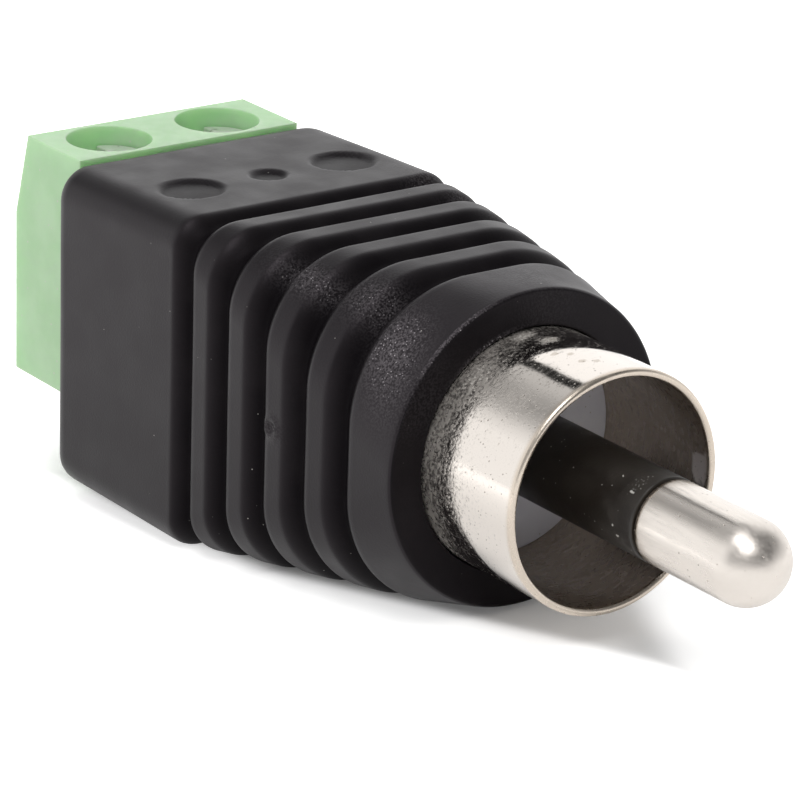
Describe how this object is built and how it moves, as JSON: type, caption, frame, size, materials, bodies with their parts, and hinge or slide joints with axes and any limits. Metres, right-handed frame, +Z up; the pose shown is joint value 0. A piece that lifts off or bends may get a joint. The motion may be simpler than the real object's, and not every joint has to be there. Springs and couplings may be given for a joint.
{
  "type": "rca to terminal block adapter",
  "caption": "Phono plug with a round metal sleeve and centre pin on a ribbed plastic grip, joined to a green screw terminal block for bare wires.",
  "frame": {"origin": "under the middle of the whole length, on the plane that the housing's flat underside rests on", "axes": "+X along the plug towards the tip of the centre pin, +Z up towards the heads of the clamping screws, +Y towards the plus pole"},
  "size_m": [0.041, 0.0128, 0.0136],
  "materials": {
    "black_housing": "fine moulded satin, scuffed",
    "black_insulator": "smooth",
    "grey_insulator": "smooth, blue-grey",
    "nickel": "bright nickel plate, dusty",
    "tin_brass": "stamped, dull",
    "green_plastic": "moulded satin",
    "terminal_metal": "zinc plated",
    "copper": "bare strands",
    "red_insulation": "smooth",
    "black_insulation": "smooth",
    "solder": "dull"
  },
  "bodies": {
    "adapter": {"housing": "black_housing", "shield_sleeve": "nickel", "insulating_washer": "grey_insulator", "insulator": "black_insulator", "centre_pin": "nickel", "ground_tag": "tin_brass", "terminal_body": "green_plastic", "plus_contact": "terminal_metal", "minus_contact": "terminal_metal", "plus_wire": "copper", "minus_wire": "copper", "plus_insulation": "red_insulation", "minus_insulation": "black_insulation", "pin_solder": "solder", "tag_solder": "solder", "plus_solder": "solder", "minus_solder": "solder"},
    "plus_screw_body": {"plus_screw": "terminal_metal"},
    "minus_screw_body": {"minus_screw": "terminal_metal"},
    "plus_cage_body": {"plus_cage": "terminal_metal"},
    "minus_cage_body": {"minus_cage": "terminal_metal"}
  },
  "joints": [
    {"name": "plus_screw_turn", "type": "hinge", "parent": "adapter", "child": "plus_screw_body", "pos_m": [-0.01765, 0.00254, 0.011], "axis": [0, 0, -1], "range_deg": [0, 1520]},
    {"name": "minus_screw_turn", "type": "hinge", "parent": "adapter", "child": "minus_screw_body", "pos_m": [-0.01765, -0.00254, 0.011], "axis": [0, 0, -1], "range_deg": [0, 1520]},
    {"name": "plus_cage_rise", "type": "slide", "parent": "adapter", "child": "plus_cage_body", "axis": [0, 0, 1], "range_m": [0, 0.0019]},
    {"name": "minus_cage_rise", "type": "slide", "parent": "adapter", "child": "minus_cage_body", "axis": [0, 0, 1], "range_m": [0, 0.0019]}
  ],
  "couplings": [
    {"joint": "plus_screw_turn", "follows": "plus_cage_rise", "rad_per_m": 13963},
    {"joint": "minus_screw_turn", "follows": "minus_cage_rise", "rad_per_m": 13963}
  ]
}
